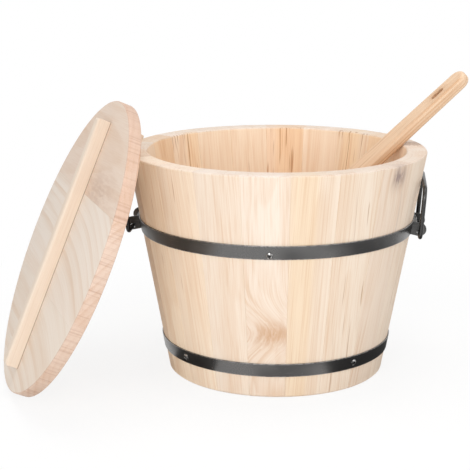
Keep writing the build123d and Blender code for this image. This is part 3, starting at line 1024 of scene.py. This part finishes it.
# The bar's foot is tinted dark: painted shade where the bar meets the lid's face.
bar_tints = np.where(bar[..., 2:] < BAR_SHADE_HEIGHT / 2, BAR_PAINTED_SHADE, BAR_TONE)
bar_tints = np.append(bar_tints.reshape(-1, 3), [BAR_TONE, BAR_TONE], axis=0)
bar = lay(bar, lid_centre, (np.cross(bar_along, lid_out), bar_along, lid_out))
add_board("wood_lid_bar", bar, bar_tree, bar_tints, "lid", "lid_bar_wood", lid_bar_wood, "lid_bar")

lid_wood = wood_finish("lid_wood", LID_WOOD)
batten_axes = (lid_along, -lid_up, -lid_out)
batten_tree = sawn_from(lid_back, lid_up, -lid_out, pith=0.06, turn=-0.5, drift=(0.02, 0.01))
batten = lay(bar_rings(*BATTEN_SIZE), lid_back, batten_axes)
add_board("wood_lid_batten", batten, batten_tree, BATTEN_TONE, "lid", "lid_wood", lid_wood, "lid_batten")
print("bar and batten on the lid")

# %% [markdown]
# Black steel. The hoops, ears, handles and screws are steel with a thin black finish that is half
# glossy: smudged, lightly scratched, and rubbed to grey along the edges. One group makes these
# effects, and every steel part sets its own tones. Where an edge is rubbed is stored on the mesh,
# and on screw and rivet heads the same mask holds a painted highlight: a bright ring round the crown.

# %% Steel group
STEEL_METALLIC = 0.9
STEEL_BUMP = {"Strength": 0.3, "Distance": 0.00012}
SCRATCH_SHINE = 0.25
SCRATCH_DEPTH = 0.4
PIT_HEIGHT = 0.6
SPECK_HEIGHT = 0.5
STEEL_TONES = {
    "hoop_steel": {"Dark": (0.165, 0.162, 0.16, 1), "Bare and Sheen": (0.34, 0.33, 0.32, 1)},
    "ear_steel": {"Dark": (0.12, 0.118, 0.116, 1), "Bare and Sheen": (0.3, 0.3, 0.3, 1)},
    "bail_steel": {"Dark": (0.07, 0.069, 0.068, 1), "Bare and Sheen": (0.22, 0.22, 0.22, 1)},
    # The screws' bare tone also colours the painted highlight ring on every head.
    "screw_steel": {"Dark": (0.03, 0.029, 0.028, 1), "Bare and Sheen": (0.52, 0.51, 0.5, 1)},
}


def make_steel_group():
    """Colour, roughness and height of black steel, from a place and a mask of rubbed edges and painted
    sheen.
    """
    group, given, out = new_group(
        "black_steel",
        {
            "Place": NOWHERE,
            "Wear and Sheen": 0.0,
            "Dark": (0.08, 0.08, 0.08, 1),
            "Bare and Sheen": (0.3, 0.3, 0.3, 1),
            "Smooth": 0.25,
            "Rough": 0.42,
        },
        {"Colour": BLACK, "Roughness": 0.0, "Height": 0.0},
    )
    place = given["Place"]
    cloud = noise(place, cells=(15, 15))
    speck = noise(place, cells=(420, 420))
    pits = noise(place, cells=(1400, 1400))
    scratch = soft_noise(place, cells=(60, 2600), limits=(0.66, 0.78), detail=1.0)
    wear_and_sheen = times(given["Wear and Sheen"], soft_step(speck, limits=(0.3, 0.62)))
    dots = soft_step(speck, limits=(0.68, 0.8), results=(0.0, 0.2))
    bare_and_sheen = math("MAXIMUM", wear_and_sheen, times(scratch, SCRATCH_SHINE), dots)
    smudge = soft_step(cloud, limits=(0.35, 0.68), results=(0.0, 0.5))
    dark = mix_colour(smudge, given["Dark"], BLACK)
    join(mix_colour(bare_and_sheen, dark, given["Bare and Sheen"]), out["Colour"])
    spread = soft_step(pits, limits=(0.3, 0.7), results=(-0.2, 0.2))
    spread = plus(soft_step(cloud, limits=(0.3, 0.7)), spread)
    gap = math("SUBTRACT", given["Rough"], given["Smooth"])
    join(plus(given["Smooth"], times(spread, gap)), out["Roughness"])
    height = plus(times(pits, PIT_HEIGHT), times(scratch, -SCRATCH_DEPTH), times(speck, SPECK_HEIGHT))
    join(height, out["Height"])
    return group


def steel_finish(name, tones):
    """A black steel material: the group by its tones on a metal shader."""
    material, tree, shader = new_material(name)
    shader["Metallic"].default_value = STEEL_METALLIC
    steel = set_inputs(add_node("Group", tree=tree, node_tree=steel_group), tones)
    join(object_place(tree), steel.inputs["Place"])
    join(stored(tree, "wear_and_sheen")["Fac"], steel.inputs["Wear and Sheen"])
    dress(shader, *steel.outputs, STEEL_BUMP)
    return material


steel_group = make_steel_group()
steels = {name: steel_finish(name, tones) for name, tones in STEEL_TONES.items()}
print("steel finishes:", *steels)

# %% [markdown]
# The hoops. Each is a flat steel strip bent to the cone of the wall. It goes once round, and its
# last piece climbs over its first by the thickness of the steel and is riveted there. A plain ring
# would miss that lap, so the strip's small section is carried round a little more than one turn.

# %% Hoops
HOOP_LOWS = {"upper": 0.1484, "lower": 0.0232}
HOOP_WIDTH = 0.014
HOOP_GAUGE = 0.0012
HOOP_FIT = 0.00005
HOOP_EDGE = 0.0004
HOOP_BORDER = 2.5 * HOOP_EDGE
HOOP_LAP = 0.026
HOOP_CLIMB = 0.012
HOOP_LAP_AZIMUTH = radians(112)
HOOP_STEPS = 361
CORNER_STEPS = 4
FLAT_STEPS = 3


def hoop_section():
    """The strip's section as distances up the wall and out of it, its outer corners rounded.

    How rubbed each point is comes back as well: the corners are, the flats are not.
    """
    cosine, sine = quarter(CORNER_STEPS)
    flat = np.linspace(HOOP_WIDTH - HOOP_BORDER, HOOP_BORDER, FLAT_STEPS)
    top = HOOP_WIDTH - HOOP_EDGE + HOOP_EDGE * cosine
    up = np.r_[0, HOOP_WIDTH, top, flat, HOOP_EDGE - HOOP_EDGE * sine]
    rise = HOOP_GAUGE - HOOP_EDGE + HOOP_EDGE * sine
    out = np.r_[0, 0, rise, np.full(FLAT_STEPS, HOOP_GAUGE), rise[::-1]]
    wear_and_sheen = np.r_[0, 0, np.ones(CORNER_STEPS), np.zeros(FLAT_STEPS), np.ones(CORNER_STEPS)]
    return up, out, wear_and_sheen


def hoop_rings(low):
    """The section carried round the wall: the radius is the wall's, the strip's own and the climb."""
    up, out, _ = hoop_section()
    radius = outer_radius(low)
    lap = HOOP_LAP / radius
    turn = np.linspace(0, 2 * pi + lap, HOOP_STEPS)[:, None]
    climb = HOOP_GAUGE * smooth((turn - 2 * pi) * radius / HOOP_CLIMB + 1)
    reach = outer_radius(low + up) + HOOP_FIT + out + climb
    return around_axis(reach, HOOP_LAP_AZIMUTH - lap / 2 + turn, low + up)


def add_hoop(name, low):
    """One hoop, with its rubbed edges marked; the two end caps' middles are not rubbed."""
    mesh = stack_mesh(f"steel_hoop_{name}", [hoop_rings(low)])
    wear_and_sheen = np.tile(hoop_section()[2], HOOP_STEPS)
    store(mesh, "wear_and_sheen", "FLOAT", "value", np.r_[wear_and_sheen, 0, 0])
    return add_piece(mesh, "tub", "hoop_steel", steels["hoop_steel"], f"hoop_{name}")


hoops = [add_hoop(name, low) for name, low in HOOP_LOWS.items()]
print(len(hoops), "hoops,", hoops[0].name, hoops[1].name)

# %% [markdown]
# Heads. A screw's head is a low dome on a short upright rim with a cross pressed into it, and a
# rivet's is a plain dome. The cross could be cut by a boolean, but a turned profile keeps clean
# rings: the points that lie in either of two crossed slots are only lowered.

# %% Screw and rivet heads
SCREW_HEAD = (0.0033, 0.0021)
RIVET_HEAD = (0.0026, 0.0013)
HEAD_RIM_SHARE = 0.33
HEAD_RIM_EASE = 0.8
HEAD_AROUND = 64
HEAD_ROWS = 22
HEAD_SHARES = (0.97, 0.02)
SLOT_WIDTH = {"limit": 0.00045, "soft": 0.00012}
SLOT_LENGTH = {"limit": 0.0019, "soft": 0.0002}
SLOT_DEPTH = 0.0013


def soft_inside(distance, limit, soft):
    """One inside a limit and nought outside it, with a soft edge."""
    return smooth((limit + soft - distance) / (2 * soft))


def head_rings(radius, height, crossed):
    """Circles from a head's foot over its rim to its crown, with the cross pressed in if it has one.

    On the dome the height falls from the crown with the square of the distance from the middle.
    """
    rim = HEAD_RIM_SHARE * height
    share = np.r_[1, 1, np.linspace(*HEAD_SHARES, HEAD_ROWS)]
    rise = rim + (height - rim) * (1 - share**2)
    rise[:2] = 0, rim * HEAD_RIM_EASE
    angle = np.linspace(0, 2 * pi, HEAD_AROUND, endpoint=False)
    rings = around_axis(radius * share[:, None], angle, rise[:, None])
    if crossed:
        away = np.abs(rings[..., :2])
        slots = soft_inside(away, **SLOT_WIDTH) * soft_inside(away[..., ::-1], **SLOT_LENGTH)
        rings[..., 2] -= SLOT_DEPTH * slots.max(axis=-1)
    return rings


print("screw head rings:", head_rings(*SCREW_HEAD, crossed=True).shape)

# %% [markdown]
# Screws and rivets hold the hoops, the ears and the batten. Each head is laid on its seat, out of
# the wall or the batten, and turned at random, as screws stop anywhere. Every head could be an
# object of its own, but a set of them moves as one, so it is one mesh.

# %% Screws and rivets
HEAD_SHEEN_PEAK = 1.5
HEAD_SHEEN_ROW = HEAD_ROWS / 3
HEAD_SHEEN_SPREAD = HEAD_ROWS / 3.4
EAR_GAUGE = 0.0018
HOOP_SEAT = HOOP_FIT + HOOP_GAUGE
EAR_SEAT = HOOP_SEAT + HOOP_FIT + EAR_GAUGE
UPPER_SCREWS = np.radians([-88.5, 91.5])
UPPER_SCREW_HEIGHT = HOOP_LOWS["upper"] + HOOP_WIDTH / 2 - 0.0026
LOWER_SCREWS = np.radians([-135, -45, 45, 135])
LOWER_SCREW_HEIGHT = HOOP_LOWS["lower"] + HOOP_WIDTH / 2
EAR_SCREWS = np.radians([-3.62, 3.62])
EAR_SCREW_HEIGHT = HOOP_LOWS["upper"] + HOOP_WIDTH / 2 + 0.002
LAP_SIDES = np.array([-1, 1]) / 4
LID_SCREW_OFFSETS = (-0.108, -0.07, -0.024, 0.028, 0.076, 0.121)


def on_wall(azimuths, z, stand):
    """Places standing off the wall, each with its directions around the tub, up the wall and out."""
    places = []
    for azimuth in azimuths:
        outward, around = compass(azimuth)
        normal = outward * cos(WALL_TILT) - UP * sin(WALL_TILT)
        place = outward * (outer_radius(z) + stand) + UP * z
        places.append((place, (around, np.cross(normal, around), normal)))
    return places


def spun(axes):
    """The same directions turned by a random angle about the last one, as screws stop anywhere."""
    turn = sawing.uniform(0, pi / 2)
    first, second, out = axes
    return first * cos(turn) + second * sin(turn), second * cos(turn) - first * sin(turn), out


def add_heads(name, node, places, head=SCREW_HEAD, body="tub"):
    """All the heads of one set as one piece, with a bright ring painted round each crown as a highlight.
    """
    rings = head_rings(*head, crossed=head == SCREW_HEAD)
    mesh = stack_mesh(name, [lay(rings, origin, spun(axes)) for origin, axes in places])
    # The bright ring round each crown is a painted highlight, kept in the same mask as rubbed edges.
    rows = (np.arange(len(rings)) - HEAD_SHEEN_ROW) / HEAD_SHEEN_SPREAD
    head_sheen = np.repeat(np.minimum(HEAD_SHEEN_PEAK * np.exp(-(rows**2)), 1), HEAD_AROUND)
    store(mesh, "wear_and_sheen", "FLOAT", "value", np.tile(np.r_[head_sheen, 0, 0], len(places)))
    add_piece(mesh, body, "screw_steel", steels["screw_steel"], node)


batten_face = lid_back - lid_out * BATTEN_DEPTH
batten_places = [(batten_face + lid_up * offset, batten_axes) for offset in LID_SCREW_OFFSETS]
rivet_places = []
for low in HOOP_LOWS.values():
    azimuths = HOOP_LAP_AZIMUTH + LAP_SIDES * HOOP_LAP / outer_radius(low)
    rivet_places += on_wall(azimuths, low + HOOP_WIDTH / 2, HOOP_SEAT + HOOP_GAUGE)
WALL_SCREWS = {
    "hoop_upper_screws": on_wall(UPPER_SCREWS, UPPER_SCREW_HEIGHT, HOOP_SEAT),
    "hoop_lower_screws": on_wall(LOWER_SCREWS, LOWER_SCREW_HEIGHT, HOOP_SEAT),
    "right_ear_screws": on_wall(EAR_SCREWS, EAR_SCREW_HEIGHT, EAR_SEAT),
    "left_ear_screws": on_wall(EAR_SCREWS + pi, EAR_SCREW_HEIGHT, EAR_SEAT),
}
for node, places in WALL_SCREWS.items():
    add_heads("steel_" + node.removeprefix("hoop_"), node, places)
add_heads("steel_batten_screws", "lid_batten_screws", batten_places, body="lid")
add_heads("steel_rivets", "hoop_rivets", rivet_places, head=RIVET_HEAD)
print("sets of heads:", len(WALL_SCREWS) + 2)

# %% [markdown]
# The handles. Each is a round rod bent into a closed ring, with its ends meeting in the lower bar.
# That bar turns in two bent ears, so the handle can swing down. A curve object with a bevel would
# do, but straight runs joined by true arcs give the bend radii exactly.

# %% Handles
ROD_RADIUS = 0.00225
ROD_AROUND = 20
BEND_STEPS = 12
PIVOT_HEIGHT = 0.151
PIVOT_STAND = 0.00814
GRIP_HEIGHT = 0.201
PIVOT = np.array([outer_radius(PIVOT_HEIGHT) + PIVOT_STAND, 0, PIVOT_HEIGHT])
GRIP = np.array([outer_radius(GRIP_HEIGHT) + ROD_RADIUS + REST_GAP, 0, GRIP_HEIGHT])
HANDLE_HALF = np.array([0, 0.0485, 0])
HANDLE_GAP = np.array([0, 0.0003, 0])
HANDLE_BENDS = (0.005, 0.012, 0.012, 0.005)
HALF_TURN = np.array([-1, -1, 1])


def bent(before, corner, after, bend):
    """An arc that touches both runs at a corner.

    It starts the bend radius over the tangent of half the opening before the corner, and turns in
    the plane of the two runs by what the opening lacks of a half turn.
    """
    inward = unit(before - corner)
    onward = unit(after - corner)
    opening = np.arccos(inward @ onward)
    centre = corner + unit(inward + onward) * bend / sin(opening / 2)
    first = corner + inward * bend / tan(opening / 2) - centre
    last = corner + onward * bend / tan(opening / 2) - centre
    side = unit(last - first * (first @ last) / bend**2) * bend
    turn = np.linspace(0, pi - opening, BEND_STEPS)[:, None]
    return centre + first * np.cos(turn) + side * np.sin(turn)


def handle_path():
    """The right handle's middle line: from the lower bar's middle round the ring and back."""
    corners = [
        PIVOT - HANDLE_GAP,
        PIVOT - HANDLE_HALF,
        GRIP - HANDLE_HALF,
        GRIP + HANDLE_HALF,
        PIVOT + HANDLE_HALF,
        PIVOT + HANDLE_GAP,
    ]
    arcs = [bent(*corners[n : n + 3], bend) for n, bend in enumerate(HANDLE_BENDS)]
    return np.concatenate([corners[:1], *arcs, corners[-1:]])


def rod_rings(path, facing):
    """Circles along a path in one plane: each lies across the path, from the plane's facing."""
    runs = unit(np.diff(path, axis=0))
    heading = unit(np.concatenate([runs[:1], runs[:-1] + runs[1:], runs[-1:]]))
    side = np.cross(heading, facing)[:, None, :]
    angle = np.linspace(0, 2 * pi, ROD_AROUND, endpoint=False)[None, :, None]
    return path[:, None, :] + ROD_RADIUS * (facing * np.cos(angle) + side * np.sin(angle))


handle_facing = unit(np.cross(GRIP - PIVOT, HANDLE_HALF))
right_rings = rod_rings(handle_path(), handle_facing)
for side, rings in (("right", right_rings), ("left", right_rings * HALF_TURN)):
    mesh = stack_mesh(f"steel_{side}_bail", [rings])
    add_piece(mesh, f"{side}_bail", "bail_steel", steels["bail_steel"], f"{side}_bail")
print("handle path points:", len(right_rings))

# %% [markdown]
# The ears are bent from thin plate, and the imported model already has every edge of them, so they
# keep its mesh and only take the steel finish.

# %% Ears
for node in ("right_back_ear", "right_front_ear", "left_front_ear", "left_back_ear"):
    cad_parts[node].material_slots[0].material = steels["ear_steel"]
print("ears dressed")

# %% [markdown]
# The ladle is carved from one stick, with its grain along the handle. Its mesh also comes from the
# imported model, so its place in the tree is turned out of the Object coordinates by a Mapping node.
# The slot for hanging it up is stained brown, which the wood group's knot does well.

# %% Ladle
LADLE_BOWL = np.array([-0.06119, 0.01643, 0.06869])
LADLE_ALONG = np.array([0.7198, 0.0795, 0.6896])
LADLE_TOP = (-0.6124, -0.3952, 0.6847)
LADLE_SLOT = 0.3134
LADLE_WOOD = {
    **grain(0.0032, rings=0.75, lines=0.4, amount=0.05),
    "Pale": (0.78, 0.575, 0.4, 1),
    "Deep": (0.6, 0.345, 0.18, 1),
    "Knot Reach": (190, 190, 95),
    "Knot Core": 0.9,
}

ladle_tree = sawn_from(LADLE_BOWL, LADLE_ALONG, LADLE_TOP, pith=0.05, turn=0.5, drift=(0, 0))
slot_place = tree_place(ladle_tree, LADLE_BOWL + LADLE_ALONG * LADLE_SLOT)
ladle_wood = wood_finish("ladle_wood", {**LADLE_WOOD, "Knot Place": slot_place}, sawn=ladle_tree)
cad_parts["ladle"].material_slots[0].material = ladle_wood
print("ladle dressed")

# %% [markdown]
# The floor is plain and pale. The camera sees it as white paper that still takes a soft shadow:
# most of what the camera sees there is a glow of strength one, and the rest is the lit floor. The
# share of the lit floor is largest under the tub and fades out a little way from it.

# %% Floor
FLOOR_HALF = 16.0
FLOOR_HEIGHT = -0.0003
FLOOR_COLOUR = (0.9, 0.9, 0.9, 1)
FLOOR_ROUGHNESS = 0.9
SHADOW_SHARE = 0.16
SHADOW_REACH = (0.2, 0.55)
SEEING_RAYS = ("Is Camera Ray", "Is Glossy Ray", "Is Transmission Ray")


def seen_share(tree):
    """One where the camera looks, straight or by a reflection, and nought where light is gathered."""
    rays = add_node("LightPath", tree=tree).outputs
    return math("MAXIMUM", *(rays[label] for label in SEEING_RAYS))


def add_floor():
    """A wide flat sheet just under the foot."""
    corners = np.array([[-1, -1], [1, -1], [1, 1], [-1, 1]]) * FLOOR_HALF
    mesh = new_mesh("floor", np.c_[corners, np.full(4, FLOOR_HEIGHT)], [[0, 1, 2, 3]])
    floor = show("floor", mesh)
    material, tree, shader = new_material("paper_floor")
    shader["Base Color"].default_value = FLOOR_COLOUR
    shader["Roughness"].default_value = FLOOR_ROUGHNESS
    away = length_of(object_place(tree))
    white = soft_step(away, limits=SHADOW_REACH, results=(1 - SHADOW_SHARE, 1.0))
    lit = tree.nodes["Principled BSDF"].outputs[0]
    glow = add_node("Emission", tree=tree).outputs[0]
    blend = add_node("MixShader", times(white, seen_share(tree)), lit, glow)
    join(blend.outputs[0], tree.nodes["Material Output"].inputs["Surface"])
    mesh.materials.append(material)


add_floor()
print("floor:", 2 * FLOOR_HALF, "m wide")

# %% [markdown]
# Dark cards. Black cards lie on the floor close to the tub, one on each side, and a grey one farther
# out on the right. Only reflections see them, so they are painted shade on the floor as the hoops
# reflect it: the hoops get darker ends and keep their bright middle.

# %% Dark cards
CARD_LIFT = 0.0005
CARD_STEPS = 24
SHADE_CARDS = {
    "shade_card_right": {"degrees": (-52, 25), "reach": (0.116, 0.26), "tone": 0.01},
    "shade_card_far_right": {"degrees": (-42, 25), "reach": (0.26, 0.8), "tone": 0.35},
    "shade_card_left": {"degrees": (-166, -125), "reach": (0.116, 0.2), "tone": 0.01},
}


def add_card(name, degrees, reach, tone):
    """A flat piece of a ring on the floor: its grid runs round the tub and outward."""
    turn, away = np.meshgrid(np.linspace(*np.radians(degrees), CARD_STEPS), reach)
    first = np.arange(CARD_STEPS - 1)
    faces = np.stack([first, first + CARD_STEPS, first + CARD_STEPS + 1, first + 1], axis=1)
    mesh = new_mesh(name, around_axis(away, turn, CARD_LIFT).reshape(-1, 3), faces.tolist())
    material, _, shader = new_material(name)
    shader["Base Color"].default_value = (tone, tone, tone, 1)
    mesh.materials.append(material)
    card = show(name, mesh)
    # Seen only in reflections, the cards are painted shade on the floor around the tub.
    card.visible_camera = False
    card.visible_diffuse = False
    card.visible_shadow = False


for name, values in SHADE_CARDS.items():
    add_card(name, **values)
print(len(SHADE_CARDS), "cards")

# %% [markdown]
# Soft studio light. A white world gives even light and a white background, with strength one
# only where the camera or a reflection looks at it. A large lamp in front lights the staves and the
# narrow space behind the lid, a weaker one fills the right, and one above lights the inside.

# %% World and lamps
WORLD_LIGHT = 0.54
LAMP_SIZE = 1.2
LAMPS = {
    "key": {"place": (-0.25, -2.0, 0.9), "aim": (0.0, 0.0, 0.12), "power": 19.0},
    "fill": {"place": (1.7, -1.0, 1.0), "aim": (0.0, 0.0, 0.12), "power": 6.5},
    "top": {"place": (0.1, 0.0, 2.1), "aim": (0.0, 0.0, 0.2), "power": 17.0},
}


def light_world():
    """A white world, weaker for light than for what the camera and reflections see."""
    world = bpy.data.worlds.new("studio")
    bpy.context.scene.world = world
    world.use_nodes = True
    tree = world.node_tree
    sky = tree.nodes["Background"].inputs
    sky["Color"].default_value = (1, 1, 1, 1)
    strength = soft_step(seen_share(tree), limits=(0.0, 1.0), results=(WORLD_LIGHT, 1.0))
    join(strength, sky["Strength"])


def add_lamp(name, place, aim, power):
    """A square soft lamp that points at its aim."""
    data = bpy.data.lights.new(name, "AREA")
    data.size = LAMP_SIZE
    data.energy = power
    lamp = show(name, data)
    lamp.location = place
    lamp.rotation_euler = (Vector(aim) - Vector(place)).to_track_quat("-Z", "Y").to_euler()


light_world()
for name, values in LAMPS.items():
    add_lamp(name, **values)
bpy.context.scene.view_settings.view_transform = "Standard"
print(len(LAMPS), "lamps")
